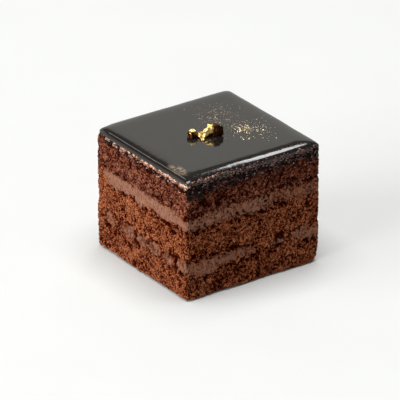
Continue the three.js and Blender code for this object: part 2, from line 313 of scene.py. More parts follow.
def outward(x, y):
    """The level direction straight out of the slice at a point of its side."""
    past_x = abs(x) - (HALF_X - CORNER_RADIUS)
    past_y = abs(y) - (HALF_Y - CORNER_RADIUS)
    if past_x > 0 and past_y > 0:
        across, along = past_x, past_y
    else:
        across, along = (1.0, 0.0) if past_x > past_y else (0.0, 1.0)
    length = math.hypot(across, along)
    return Vector((math.copysign(across, x), math.copysign(along, y), 0)) / length


# The sponge's bubbles from large to small: how far apart in pore sizes, the share of places that hold
# one, and the largest radius as a share of that distance.
BUBBLES = ((6.5, 0.3, 0.2), (2.3, 0.45, 0.34), (1.2, 0.6, 0.34))


def crumb_field(p, size):
    """How deep the torn crumb lies at p, from 0 on its ridges to 1 at the bottom of its pores."""
    bent = p + 0.5 * noise.noise_vector(p / (1.6 * size))
    bubble = 0.0
    for spacing, share, widest in BUBBLES:
        away, centres = noise.voronoi(bent / (spacing * size))
        chance = 0.5 + 0.5 * noise.cell(centres[0] * 7.7 + Vector((0.3, 0.6, 0.9)))
        if chance < share:
            radius = 0.5 * widest + widest * chance / share
            bubble = max(bubble, math.sqrt(clamp(1 - (away[0] / radius) ** 2)))
    tear = noise.fractal(bent / (1.15 * size), 0.8, 2.1, 3)
    fine = noise.noise(p / (0.42 * size) + Vector((7, 3, 5)))
    open_grain = noise.fractal(p / (5.5 * size) + Vector((2, 6, 1)), 0.8, 2.1, 3)
    return clamp(0.28 + 0.2 * open_grain - 0.46 * tear - 0.36 * fine + (0.6 + 0.4 * open_grain) * bubble)


def side_place(face, along, height, inward):
    """A point on a cut face, in mm: its place along the face, its height and how far in it lies."""
    if face in ("left", "lee"):
        side = -1 if face == "left" else 1
        return Vector((side * (HALF_X - inward), along, height))
    side = -1 if face == "right" else 1
    return Vector((along, side * (HALF_Y - inward), height))


LARGE_LUMP = 0.42  # mm, radius above which a crumb is rounder, with more faces


def lump(shape, place, radius, stretch, layer, share):
    """Adds an uneven crumb to the shape, at place and of that radius, both in mm, with share on a layer."""
    parts = 2 if radius > LARGE_LUMP else 1
    for vert in bmesh.ops.create_icosphere(shape, subdivisions=parts, radius=radius)["verts"]:
        uneven = 0.85 + 0.6 * noise.noise((place + vert.co) / (0.8 * radius))
        p = place + vert.co * Vector(stretch) * uneven
        vert.co = Vector((clamp(p.x, -HALF_X, HALF_X), clamp(p.y, -HALF_Y, HALF_Y), max(p.z, 0.0))) * MM
        vert[layer] = share


def fitted(points, low, high):
    """The points, shrunk or stretched along each axis so that they just fill the box from low to high."""
    least = [min(p[i] for p in points) for i in range(3)]
    most = [max(p[i] for p in points) for i in range(3)]
    scales = [(high[i] - low[i]) / (most[i] - least[i]) for i in range(3)]
    return [Vector([low[i] + (p[i] - least[i]) * scales[i] for i in range(3)]) for p in points]


def foil_crease(p, size):
    """Height of crumpled foil at p: flat facets about size millimetres wide that meet in sharp creases."""
    _away, centres = noise.voronoi(p / size)
    facets = []
    for centre in centres:
        lean = noise.cell_vector(centre * 5.3 + Vector((0.2, 0.7, 0.4)))
        facets.append(0.3 * noise.cell(centre * 9.1) + lean.dot(p / size - centre))
    return min(facets)


DRAG_WIDTH = 3.2  # mm, how far a full drag moves the edge between crumb and cream
CREAM_OVERLAP = 0.08  # mm that the cream reaches past each seam, so that no slit shows there
EVENING_PASSES = 3
# Where the knife has dragged crumb over the cream (share above 0) or cream over the crumb (below 0):
# face, place along it and height in mm, reach along and up, share.
DRAGS = (
    ("left", 29.5, 14.0, 3.0, 4.0, 0.8),
    ("left", 16.0, 13.0, 3.2, 3.6, 0.85),
    ("left", 4.4, 13.6, 2.0, 3.5, 0.8),
    ("left", -4.4, 13.0, 2.2, 3.2, 0.8),
    ("left", -13.8, 13.0, 2.0, 3.4, 0.8),
    ("left", -22.6, 13.0, 1.5, 3.4, 0.7),
    ("left", 0.0, 11.0, 40.0, 1.2, 0.5),
    ("left", 28.0, 34.5, 3.5, 4.0, 0.7),
    ("left", 22.3, 17.4, 1.8, 2.4, -0.8),
    ("left", 9.2, 17.2, 2.0, 2.0, -0.7),
    ("left", -9.2, 17.0, 2.6, 2.0, -0.7),
    ("left", -28.4, 16.6, 2.4, 2.0, -0.5),
    ("right", 6.0, 13.2, 6.0, 4.0, 0.8),
    ("right", 17.0, 14.0, 3.5, 3.0, 0.6),
    ("right", -27.0, 35.5, 4.0, 3.0, 0.35),
    ("right", 12.0, 33.0, 4.0, 2.0, 0.5),
    ("right", -22.0, 10.3, 6.0, 2.0, -0.6),
    ("right", 24.0, 17.5, 5.0, 2.0, -0.5),
)
# Holes and cracks that gape in the crumb, laid out in the same way, with how deep they are as the share.
TEARS = (
    # The row along the left face just under the glaze's edge is partly crack and partly painted shadow under
    # the ledge, cut in and painted near black.
    ("left", 24.9, 49.6, 1.2, 0.6, 0.8),
    ("left", 22.6, 49.2, 1.5, 0.5, 0.7),
    ("left", 20.6, 48.7, 0.9, 0.8, 1.0),
    ("left", 15.4, 48.7, 0.8, 1.1, 0.9),
    ("left", 9.8, 49.1, 1.2, 0.8, 0.8),
    ("left", 4.0, 49.1, 1.2, 0.9, 0.8),
    ("left", -1.4, 48.5, 1.8, 0.7, 1.1),
    ("left", -4.6, 47.3, 2.0, 0.7, 1.1),
    ("left", -7.0, 48.4, 1.0, 0.9, 1.0),
    ("left", -10.4, 48.6, 1.1, 0.8, 1.0),
    ("left", -14.3, 48.0, 2.0, 0.5, 0.6),
    ("left", -17.8, 47.6, 0.8, 1.2, 1.0),
    ("left", -22.9, 48.6, 1.2, 0.7, 1.1),
    ("left", -25.7, 48.3, 1.7, 0.6, 1.1),
    ("left", -28.6, 47.7, 1.5, 0.7, 1.1),
    ("left", 7.9, 45.1, 0.7, 1.2, 0.8),
    ("left", 14.2, 43.9, 0.9, 0.8, 0.6),
    ("left", -8.5, 40.3, 0.7, 1.3, 0.6),
    ("left", 13.1, 30.3, 1.3, 0.9, 0.75),
    ("left", 4.6, 31.4, 0.8, 1.4, 0.5),
    ("left", 23.4, 12.2, 1.5, 0.7, 0.7),
    ("left", 19.1, 10.1, 1.1, 1.4, 0.5),
    ("left", 4.3, 15.1, 0.8, 2.2, 0.6),
    ("left", 2.1, 11.9, 1.2, 1.2, 0.6),
    ("left", 8.4, 8.4, 1.6, 1.3, 0.5),
    ("left", 5.5, 2.3, 1.3, 1.0, 0.6),
    ("left", -19.4, 15.8, 0.5, 1.6, 0.8),
    ("left", -23.6, 13.9, 0.55, 2.0, 0.95),
    ("left", -27.3, 11.3, 1.0, 1.2, 0.7),
    ("left", -15.2, 29.7, 2.0, 0.7, 0.6),
    ("left", -18.4, 29.1, 2.0, 0.8, 0.7),
    ("left", -21.5, 27.2, 1.6, 1.0, 0.6),
    ("left", -11.0, 38.1, 1.5, 0.8, 0.5),
    ("left", -15.0, 9.3, 1.0, 1.4, 0.5),
    ("right", -3.0, 30.8, 4.0, 0.45, 0.6),
    ("right", 3.9, 30.4, 1.1, 0.8, 0.9),
    ("right", -26.7, 30.2, 1.6, 1.0, 0.5),
    ("right", -17.0, 39.6, 1.1, 0.9, 0.5),
    ("right", -25.0, 42.0, 1.8, 1.2, 0.6),
    ("right", 1.8, 9.8, 1.0, 1.0, 0.6),
    ("right", 2.2, 12.5, 1.3, 0.8, 0.5),
    ("right", 13.2, 12.9, 1.8, 0.9, 0.5),
    ("right", 25.8, 11.3, 2.4, 0.7, 0.6),
    ("right", 14.4, 30.4, 2.0, 1.3, 0.45),
    ("right", 5.6, 34.1, 1.2, 1.0, 0.5),
    ("right", -10.0, 17.9, 2.2, 1.0, 0.4),
    ("right", 12.7, 16.6, 2.4, 1.2, 0.35),
)


def face_place(p, out):
    """Which cut face a point lies on, and its place along it in mm.

    The lee face is opposite the left one, and the far face is opposite the right one.
    """
    if abs(out.x) > 0.7:
        return "left" if p.x < 0 else "lee", p.y
    return "right" if p.y < 0 else "far", p.x


def marked(p, out, marks):
    """How strongly the marks of a table bear on a point: the sum of their shares, fading with distance."""
    face, along = face_place(p, out)
    total = 0.0
    for name, place, height, reach, rise, share in marks:
        if name == face:
            away = ((along - place) / reach) ** 2 + ((p.z - height) / rise) ** 2
            total += share * math.exp(-away)
    return total


def on_right(out):
    """How much a side looks the right face's way, from 0 to 1."""
    return smooth_step(-out.y, 0.3, 0.8)


def soaked(p, out, depth_share):
    """How much glaze has run into the crumb: a deep band on the right face, blots elsewhere."""
    depth = GLAZE_SEAM - p.z
    if depth > 11:
        return 0.0
    right = on_right(out)
    blot = noise.fractal(p / 2.2 + Vector((3, 1, 8)), 0.9, 2.0, 4)
    corner = math.exp(-(((p.x + 27) / 9) ** 2))
    band = 1 - smooth_step(depth + 3.0 * blot, 2.6 + 2.4 * corner, 6.0 + 3.4 * corner)
    spots = smooth_step(blot + 0.4 * depth_share, 0.14, 0.4) * (1 - smooth_step(depth, 1.5, 5.0))
    return right * band + (1 - right) * spots


def rim_heights(rim, z_low, z_high):
    """Bearing and height, in mm, of the rim's points between two heights, in order round the slice."""
    points = (v.co for v in rim if v.co.xy.length > MM and z_low < v.co.z < z_high)
    return sorted((math.atan2(co.y, co.x), co.z / MM) for co in points)


def into_cream(p, seams, is_cream):
    """How far inside the cream p is, in mm: below 0 in the sponge, and far below where no cream is near."""
    away = 99.0
    for line in seams:
        place = bisect.bisect(line, (math.atan2(p.y, p.x), 0)) % len(line)
        away = min(away, abs(p.z - line[place][1]))
    return away if is_cream else -away


def stuck_crumb(p, right, lower):
    """How much crumb sticks to the cream at p, from 0 to 1."""
    caught = noise.fractal(p / 0.75 + Vector((1, 6, 2)), 0.6, 2.2, 3)
    caught += 0.2 * right * (1 - lower) + 0.28 * lower * (1 - right)
    return smooth_step(caught, 0.42, 0.62)


def cream_thickness(p, right, lower):
    """How well cream hides what is behind it: least in the lower layer, and thin at the right face's end."""
    patchy = smooth_step(noise.noise(p / 1.9 + Vector((4, 4, 1))), -0.3, 0.3)
    thickness = 1 - lower * (1 - 0.15 * right) * (0.1 + 0.4 * patchy)
    thickness *= 1 - 0.4 * right * (1 - lower) * smooth_step(p.x, 4.0, 12.0)
    return thickness


def side_finish(p, out, into, is_cream, size):
    """How much pore, cream and soaked-in glaze there is at p, each from 0 to 1.

    into is how far inside the cream p would be if the seam were clean, and size is the crumb's.
    """
    right = on_right(out)
    lower = 1 - smooth_step(p.z, 20.0, 24.0)
    ragged = (1.4 + 1.0 * right) * noise.fractal(p / 1.5 + Vector((9, 2, 4)), 0.8, 2.1, 4)
    inside = into + ragged - DRAG_WIDTH * marked(p, out, DRAGS)
    stuck = stuck_crumb(p, right, lower)
    tear = marked(p, out, TEARS) * (1 + 0.9 * noise.noise(p / 0.9 + Vector((5, 1, 2))))
    cream = smooth_step(inside, -0.45, 0.45) * (1 - 0.9 * stuck) * cream_thickness(p, right, lower)
    cream *= 1 - smooth_step(tear, 0.2, 0.5)
    if is_cream:
        return clamp(crumb_field(p, size) + 1.2 * tear + 0.5 * stuck), cream, 0.0
    gap = smooth_step(noise.fractal(p / 2.6 + Vector((2, 8, 5)), 0.8, 2.1, 3), 0.1, 0.4)
    gap *= math.exp(-(((inside + 0.7) / 0.9) ** 2))
    pore = clamp(crumb_field(p, size) + 0.8 * gap + 1.2 * tear)
    return pore, cream, soaked(p, out, pore)


def worked_place(p, out, finish, depth):
    """Where a point of a side goes: down into its pore, or a little in where the knife wiped the cream."""
    pore, cream, soak = finish
    inset = (1 - cream) * depth * pore * (1 - 0.25 * soak)
    wipe = noise.fractal(Vector((p.x, p.y, 2.2 * p.z)) / 3.0, 1.0, 2.0, 3)
    inset += cream * (0.15 + 0.12 * wipe)
    held = smooth_step(p.z, 0.0, 2.5) * (1 - smooth_step(p.z, GLAZE_SEAM - 1.2, GLAZE_SEAM - 0.3))
    fall = 0.42 * noise.noise(p / 1.5) + 0.2 * noise.noise(p / 0.6)
    side = smooth_step(p.xy.length, 25.0, 30.0)
    place = p - out * inset * side
    place.z += held * fall * side
    return place


def grid_sides(shape, cuts):
    """Cuts a layer's sides into a fine grid, and evens it out."""
    join_triangles(shape, side_faces(shape))
    edges = list(dict.fromkeys(e for f in side_faces(shape) for e in f.edges))
    bmesh.ops.subdivide_edges(shape, edges=edges, cuts=cuts, use_grid_fill=True)
    rim = rim_points(shape)
    inner = [v for v in shape.verts if v not in rim]
    for _ in range(EVENING_PASSES):
        bmesh.ops.smooth_vert(
            shape, verts=inner, factor=0.5, use_axis_x=True, use_axis_y=True, use_axis_z=True)


def dress_side(shape, touching, is_cream, crumb):
    """Works the crumb, the pores and the smears into a layer's sides.

    touching says which of its rims touch the other kind of layer: "both", "top" or "foot".
    """
    grid_sides(shape, crumb.cuts)
    layers = [shape.verts.layers.float.new(name) for name in ("pore", "cream", "soak")]
    rim = rim_points(shape)
    middle = (min(v.co.z for v in rim) + max(v.co.z for v in rim)) / 2
    seams = []
    if touching in ("both", "foot"):
        seams.append(rim_heights(rim, -1, middle))
    if touching in ("both", "top"):
        seams.append(rim_heights(rim, middle, 1))
    size, depth = crumb.pore_size / MM, crumb.pore_depth / MM
    for vert in shape.verts:
        if vert.co.xy.length < MM:  # the middle of the flat top or foot
            continue
        p = vert.co / MM
        out = outward(p.x, p.y)
        finish = side_finish(p, out, into_cream(p, seams, is_cream), is_cream, size)
        place = worked_place(p, out, finish, depth)
        if is_cream and vert in rim:
            place.z += CREAM_OVERLAP if p.z > middle / MM else -CREAM_OVERLAP
        vert.co = Vector((place.x, place.y, max(place.z, 0.0))) * MM
        for layer, value in zip(layers, finish):
            vert[layer] = value
    return shape


# ---- Settings --------------------------------------------------------------------------------


class CrumbSettings(bpy.types.PropertyGroup):
    """Sizes and colours of the sponge's crumb."""

    pore_size: FloatProperty(
        name="Pore size", description="Typical distance from one pore to the next",
        default=0.78 * MM, min=0.3 * MM, max=4 * MM, unit="LENGTH", subtype="DISTANCE")
    pore_depth: FloatProperty(
        name="Pore depth", description="Depth of the deepest pores in a cut face",
        default=1.0 * MM, min=0.0, max=3 * MM, unit="LENGTH", subtype="DISTANCE")
    cuts: IntProperty(
        name="Grid cuts", description="How finely the cut faces are divided", default=7, min=1, max=9)
    crumb_colour: FloatVectorProperty(
        name="Crumb", description="Sponge between the pores",
        default=srgb("#713313"), size=3, subtype="COLOR")
    # Partly dry crumb and partly painted highlight, on the ridges and on the pale wet crumbs.
    dry_highlight_colour: FloatVectorProperty(
        name="Dry crumb", description="Torn edges that have dried",
        default=srgb("#986041"), size=3, subtype="COLOR")
    # Also painted part way down the pores as shade.
    moist_and_shade_colour: FloatVectorProperty(
        name="Moist crumb", description="Sponge that holds more syrup",
        default=srgb("#4a1c0c"), size=3, subtype="COLOR")
    # Painted shade: the bottom of each pore is painted this near black.
    pore_shade_colour: FloatVectorProperty(
        name="Pore", description="Inside of the pores",
        default=srgb("#210300"), size=3, subtype="COLOR")
    # Partly pale wet crumb and partly painted highlight.
    wet_highlight_colour: FloatVectorProperty(
        name="Wet crumb", description="Pale crumb with syrup on it",
        default=srgb("#cba68f"), size=3, subtype="COLOR")
    soak_colour: FloatVectorProperty(
        name="Soaked crumb", description="Crumb that the glaze has run into",
        default=srgb("#0b0402"), size=3, subtype="COLOR")


class CreamSettings(bpy.types.PropertyGroup):
    """Colours of the chocolate cream."""

    cream_colour: FloatVectorProperty(
        name="Cream", description="Clean chocolate cream",
        default=srgb("#7e5541"), size=3, subtype="COLOR")
    shade_colour: FloatVectorProperty(
        name="Smeared cream", description="Cream with a little crumb in it",
        default=srgb("#5c3829"), size=3, subtype="COLOR")


class GlazeSettings(bpy.types.PropertyGroup):
    """Colours of the mirror glaze."""

    glaze_colour: FloatVectorProperty(
        name="Glaze", description="Dark chocolate glaze",
        default=srgb("#1a1512"), size=3, subtype="COLOR")
    thin_colour: FloatVectorProperty(
        name="Thin glaze", description="The glaze where crumb shows through it",
        default=srgb("#786a56"), size=3, subtype="COLOR")
    glaze_shade: FloatVectorProperty(
        name="Glaze shade", description="The glaze where it lies thickest",
        default=srgb("#120f0d"), size=3, subtype="COLOR")


class GoldSettings(bpy.types.PropertyGroup):
    """Colours and amount of the gold."""

    # Partly the gold's own pale tone and partly painted light.
    gold_colour: FloatVectorProperty(
        name="Gold", description="Bright side of the gold leaf",
        default=srgb("#ffe6a6"), size=3, subtype="COLOR")
    # Partly the gold's deeper tone and partly painted shade.
    gold_shade: FloatVectorProperty(
        name="Gold shade", description="Deeper tone in the creases",
        default=srgb("#cf9a1e"), size=3, subtype="COLOR")
    dust_colour: FloatVectorProperty(
        name="Dust", description="Finest gold dust, paled by the light that it scatters",
        default=srgb("#ffeec6"), size=3, subtype="COLOR")
    # Painted shade: the near black of the shaded gold leaf and of the back specks of dust.
    painted_shade_colour: FloatVectorProperty(
        name="Painted_shade", description="Gold under a film of glaze",
        default=srgb("#2a1608"), size=3, subtype="COLOR")
    specks: IntProperty(
        name="Specks", description="How many fine specks of gold dust lie on the glaze",
        default=600, min=0, max=2000)


class StageSettings(bpy.types.PropertyGroup):
    """The studio round the slice."""

    floor_colour: FloatVectorProperty(
        name="Floor", description="Pale floor and backdrop",
        default=srgb("#bbbcbb"), size=3, subtype="COLOR")
    key_power: FloatProperty(
        name="Key light", description="Power of the large soft light at the left",
        default=87.0, min=0.0, max=500.0, unit="POWER")
    top_power: FloatProperty(
        name="Overhead light", description="Power of the large soft light above",
        default=49.0, min=0.0, max=500.0, unit="POWER")


# ---- Operators -------------------------------------------------------------------------------


class CAKE_OT_sponges(bpy.types.Operator):
    """Open, torn crumb on the three sponges"""

    bl_idname = "cake.sponges"
    bl_label = "Bake Sponges"

    def execute(self, context):
        crumb, cream = context.scene.cake_crumb, context.scene.cake_cream
        for name, (moisture, touching) in SPONGES.items():
            material = cut_cake_material(f"Chocolate sponge, {name}", crumb, cream, moisture)
            shape = dress_side(node_copy(name), touching, False, crumb)
            add_piece(shape, name + "_crumb", material, [name])
        return {"FINISHED"}


class CAKE_OT_creams(bpy.types.Operator):
    """Knife-wiped cream between the sponges"""

    bl_idname = "cake.creams"
    bl_label = "Spread Creams"

    def execute(self, context):
        crumb, cream = context.scene.cake_crumb, context.scene.cake_cream
        material = cut_cake_material("Chocolate buttercream, wiped by the knife", crumb, cream)
        for name in CREAMS:
            shape = dress_side(node_copy(name), "both", True, crumb)
            add_piece(shape, name + "_spread", material, [name])
        return {"FINISHED"}


class CAKE_OT_glaze(bpy.types.Operator):
    """Mirror glaze with a soft shoulder and a level top"""

    bl_idname = "cake.glaze"
    bl_label = "Pour Glaze"

    def execute(self, context):
        # The node's grains of gold are cut off with the top, which becomes one face.
        shape = node_copy("glaze")
        level = (GLAZE_TOP - 0.02) * MM
        whole = shape.verts[:] + shape.edges[:] + shape.faces[:]
        bmesh.ops.bisect_plane(
            shape, geom=whole, dist=1e-7, plane_co=(0, 0, level), plane_no=(0, 0, 1), clear_outer=True)
        open_edges = [e for e in shape.edges if e.is_boundary]
        top = bmesh.ops.contextual_create(shape, geom=open_edges)["faces"]
        join_triangles(shape, [f for f in side_faces(shape) if f not in top])
        bmesh.ops.recalc_face_normals(shape, faces=shape.faces)
        # The edge round the underside stays sharp when the rest is smoothed.
        crease = shape.edges.layers.float.new("crease_edge")
        for edge in shape.edges:
            under = [f for f in edge.link_faces if any(v.co.xy.length < MM for v in f.verts)]
            if len(under) == 1:
                edge[crease] = 0.9
        settings = context.scene.cake_glaze
        piece = add_piece(shape, "mirror_glaze", glaze_material(settings), ["glaze"])
        surface = piece.modifiers.new("Smooth", "SUBSURF")
        surface.levels = surface.render_levels = 2
        return {"FINISHED"}


class CAKE_OT_rim_crumbs(bpy.types.Operator):
    """Wet crumbs along the lower edge of the glaze"""

    bl_idname = "cake.rim_crumbs"
    bl_label = "Scatter Rim Crumbs"

    SHOULDER = 1.2  # mm, radius of the glaze's rounded shoulder
    SHOULDER_FOOT = 51.4  # mm, height where it begins
    # The pale lumps along the left face's ledge and on the right face near the front corner are partly pale
    # crumb and partly painted highlight, where the edge catches the light.
    # Face, from and to along it, how many, mean height, spread and sizes in mm, and how pale.
    ROWS = (
        ("left", -30.5, 26.0, 24, 50.2, 0.3, 0.5, 0.95, 0.5),
        ("left", -30.5, 27.0, 34, 49.3, 0.5, 0.5, 0.85, 0.35),
        ("left", -30.5, 28.0, 60, 50.1, 0.45, 0.3, 0.6, 0.25),
        ("left", -30.5, 6.0, 70, 48.3, 0.9, 0.22, 0.45, 0.45),
        ("left", 6.0, 28.0, 25, 49.3, 0.6, 0.22, 0.42, 0.25),
        ("right", -31.0, 31.0, 330, 51.0, 0.7, 0.25, 0.7, -0.3),
        ("right", -31.0, 31.0, 60, 51.9, 0.3, 0.15, 0.34, -0.1),
        ("right", -31.0, -12.0, 26, 51.9, 0.1, 0.3, 0.5, 0.3),
        ("right", -31.0, 31.0, 120, 48.3, 1.3, 0.2, 0.6, -0.3),
        ("lee", -30.5, 30.5, 90, 50.4, 0.3, 0.3, 0.6, 0.4),
        ("far", -27.0, 31.0, 90, 50.4, 0.3, 0.3, 0.6, 0.4),
    )
    # The palest lumps on the left face, partly pale crumb and partly painted highlight where the ledge
    # catches the light: place along it, height and radius in mm, and how pale.
    PALEST = (
        (24.1, 50.5, 0.8, 0.7),
        (18.7, 50.6, 1.09, 0.95),
        (12.4, 50.4, 0.92, 0.7),
        (11.0, 50.2, 0.86, 0.6),
        (5.1, 50.4, 0.8, 0.8),
        (2.8, 50.5, 0.8, 0.8),
        (-1.5, 50.7, 0.86, 0.9),
        (-4.1, 50.5, 1.26, 1.0),
        (-7.2, 50.6, 1.15, 1.0),
        (-8.7, 50.1, 1.03, 0.9),
        (-13.6, 50.6, 0.92, 0.7),
        (-18.5, 50.7, 0.92, 0.95),
        (-20.1, 50.5, 0.8, 0.8),
        (-23.7, 50.1, 1.03, 0.7),
        (-27.4, 50.4, 1.03, 0.9),
        (-28.9, 50.5, 1.26, 1.0),
        (-30.4, 50.4, 1.03, 1.0),
    )
    # Pale lumps round the front corner, partly pale crumb and partly painted highlight: place and radius in
    # mm.
    CORNER = ((-31.7, -31.0, 50.4, 0.75), (-31.9, -30.1, 50.5, 0.6), (-31.2, -31.3, 50.9, 0.55))

    def execute(self, context):
        shape = bmesh.new()
        pale = shape.verts.layers.float.new("pale")
        chance = random.Random(5)
        for face, start, end, count, height, spread, small, large, paleness in self.ROWS:
            for _ in range(count):
                radius = chance.uniform(small, large)
                z = clamp(chance.gauss(height, spread), 45.0, 52.3 if face == "right" else 51.1)
                rise = clamp(z - self.SHOULDER_FOOT, 0.0, 1.1)
                shoulder = self.SHOULDER - math.sqrt(self.SHOULDER**2 - rise**2)
                place = side_place(face, chance.uniform(start, end), z, 0.7 * radius + 1.3 * shoulder)
                long = chance.uniform(1.0, 1.8)
                stretch = (1, long, 0.8) if face in ("left", "lee") else (long, 1, 0.8)
                share = clamp(chance.gauss(paleness, 0.25))
                if marked(place, outward(place.x, place.y), TEARS) < 0.35:
                    lump(shape, place, radius, stretch, pale, share)
        for along, z, radius, share in self.PALEST:
            lump(shape, side_place("left", along, z, 0.7 * radius), radius, (1, 1.3, 0.8), pale, share)
        for x, y, z, radius in self.CORNER:
            lump(shape, Vector((x, y, z)), radius, (1, 1, 1), pale, 1.0)
        material = wet_crumb_material(context.scene.cake_crumb)
        add_piece(shape, "rim_crumbs", material)
        return {"FINISHED"}


class CAKE_OT_foot_crumbs(bpy.types.Operator):
    """Crumbs that cling to the ragged foot of the slice"""

    bl_idname = "cake.foot_crumbs"
    bl_label = "Scatter Foot Crumbs"

    COUNT = 300
    HEIGHT = 2.0  # mm above the floor that they reach
    BAND = 2.5  # mm in from the cut faces where they lie

    def execute(self, context):
        sponge = bpy.data.objects["sponge_bottom_crumb"].data
        points = [v.co / MM for v in sponge.vertices if v.co.z < self.HEIGHT * MM]
        sides = [p for p in points if max(abs(p.x) - HALF_X, abs(p.y) - HALF_Y) > -self.BAND]
        shape = bmesh.new()
        pore = shape.verts.layers.float.new("pore")
        chance = random.Random(11)
        for point in chance.sample(sides, self.COUNT):
            radius = chance.uniform(0.25, 0.75)
            place = point - 0.3 * radius * outward(point.x, point.y)
            place.z = max(place.z, 0.7 * radius)
            lump(shape, place, radius, (1, 1, 0.9), pore, chance.uniform(0.0, 0.3))
        crumb, cream = context.scene.cake_crumb, context.scene.cake_cream
        material = cut_cake_material("Chocolate crumbs", crumb, cream, SPONGES["sponge_bottom"][0])
        add_piece(shape, "foot_crumbs", material)
        return {"FINISHED"}


class CAKE_OT_gold_leaf(bpy.types.Operator):
    """Crumpled gold leaf"""

    bl_idname = "cake.gold_leaf"
    bl_label = "Lay Gold Leaf"

    START = Vector((-8.7, 2.3, 54.0))  # mm, the tip of the leaf's left lobe
    REACH = Vector((12.9, -6.6, 0.0))  # mm, from there to the other end
    NECK = 0.43  # where the leaf is narrowest, as a share of its length
    TURN = 0.73  # where it turns its side that is painted dark as shade to the front
    CREASE = 0.55  # mm, height of the creases
    FACET = 1.6  # mm, from one crease to the next
    FINE_FACET = 0.7  # mm

    def painted_shade_share(self, p, along, level):
        """How much painted shade darkens the leaf, from 0 to 1: its foot, its fold, its left lobe and the
        side it turned.

        level is 1 where the leaf lies flat and 0 where it stands upright. Heights are in mm.
        """
        neck = math.exp(-(((along - self.NECK) / 0.12) ** 2))
        under = smooth_step(0.5 * noise.noise(p / 0.9) + (55.0 - p.z) / 1.2 - 2.5 * neck, 0.0, 0.5)
        low_flat_shade = smooth_step(level, 0.05, 0.35) * smooth_step(56.0 - p.z, 0.0, 0.8) * (1 - neck)
        fold = 0.9 * neck * math.exp(-(((p.z - 54.05) / 0.3) ** 2))
        # The left lobe is painted a little darker as shade.
        left_lobe_shade = 0.25 * (1 - smooth_step(along, 0.14, 0.24))
        turned = smooth_step(along, self.TURN - 0.03, self.TURN + 0.03)
        return max(turned, left_lobe_shade, low_flat_shade, fold, under)

    def execute(self, context):
        shape = node_copy("gold_leaf")
        bmesh.ops.subdivide_edges(shape, edges=shape.edges[:], cuts=3, use_grid_fill=True)
        shape.normal_update()
        painted_shade = shape.verts.layers.float.new("painted_shade")
        creased = []
        for vert in shape.verts:
            p = vert.co / MM
            along = (p - self.START).dot(self.REACH) / self.REACH.length_squared
            spine = self.START + along * self.REACH
            spine.z = GLAZE_TOP - 0.3
            crease = foil_crease(p, self.FACET) + 0.2 * foil_crease(p + Vector((5, 1, 3)), self.FINE_FACET)
            # Both faces of the thin sheet move the same way, straight out from its spine.
            creased.append(vert.co - (p - spine).normalized() * (self.CREASE * MM * crease))
            along += 0.05 * noise.noise(p / 0.8)
            # Painted shade on the leaf's foot, fold, left lobe and the side it turns to the front.
            vert[painted_shade] = self.painted_shade_share(p, along, abs(vert.normal.z))
        for vert, place in zip(shape.verts, fitted(creased, *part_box("gold_leaf"))):
            vert.co = place
        gold = context.scene.cake_gold
        material = gold_material(
            "Beaten gold leaf", gold.gold_colour, gold.gold_shade, gold.painted_shade_colour, 0.3)
        add_piece(shape, "gold_leaf_crumpled", material, ["gold_leaf"])
        return {"FINISHED"}


class CAKE_OT_gold_dust(bpy.types.Operator):
    """Specks of gold on the glaze"""

    bl_idname = "cake.gold_dust"
    bl_label = "Dust With Gold"

    SMALLEST = 0.05  # mm, radius of the finest speck
    MARGIN = 3.0  # mm along the glaze's shoulder that stay clean
    # Where the dust lies on the glaze, how far it spreads, its share of the specks and their size in mm.
    CLOUDS = (
        (14.3, -4.8, 1.9, 0.22, 0.26),
        (19.5, -6.6, 4.2, 0.24, 0.19),
        (14.0, 12.5, 5.4, 0.34, 0.17),
        (11.5, 1.0, 4.5, 0.2, 0.16),
    )

    def execute(self, context):
        settings = context.scene.cake_gold
        # The largest grains are those of the glaze's own solid, and the fine ones join them.
        shape = node_copy("glaze")
        whole = shape.verts[:] + shape.edges[:] + shape.faces[:]
        bmesh.ops.bisect_plane(
            shape, geom=whole, dist=1e-7, plane_co=(0, 0, (GLAZE_TOP + 0.01) * MM),
            plane_no=(0, 0, 1), clear_inner=True)
        bmesh.ops.holes_fill(shape, edges=[e for e in shape.edges if e.is_boundary])
        chance = random.Random(11)
        weights = [cloud[3] for cloud in self.CLOUDS]
        for _ in range(settings.specks):
            x, y, spread, _share, largest = chance.choices(self.CLOUDS, weights)[0]
            place = Vector((chance.gauss(x, spread), chance.gauss(y, 1.15 * spread), GLAZE_TOP))
            size = self.SMALLEST + (largest - self.SMALLEST) * chance.random() ** 2
            turn = Matrix.Rotation(chance.uniform(0, math.tau), 4, "Z")
            stretch = Matrix.Diagonal((1.0, chance.uniform(0.5, 1.0), 0.35, 1.0))
            if abs(place.x) > HALF_X - self.MARGIN or abs(place.y) > HALF_Y - self.MARGIN:
                continue
            matrix = Matrix.Translation(place * MM) @ turn @ stretch
            bmesh.ops.create_icosphere(shape, subdivisions=1, radius=size * MM, matrix=matrix)
        painted_shade = shape.verts.layers.float.new("painted_shade")
        # Painted shade: the specks further back are painted a little darker.
        for vert in shape.verts:
            vert[painted_shade] = 0.3 * smooth_step(vert.co.y / MM, 1.0, 5.0)
        material = gold_material(
            "Gold dust", settings.dust_colour, settings.gold_colour, settings.painted_shade_colour, 0.35)
        add_piece(shape, "gold_dust", material, smooth=False)
        return {"FINISHED"}


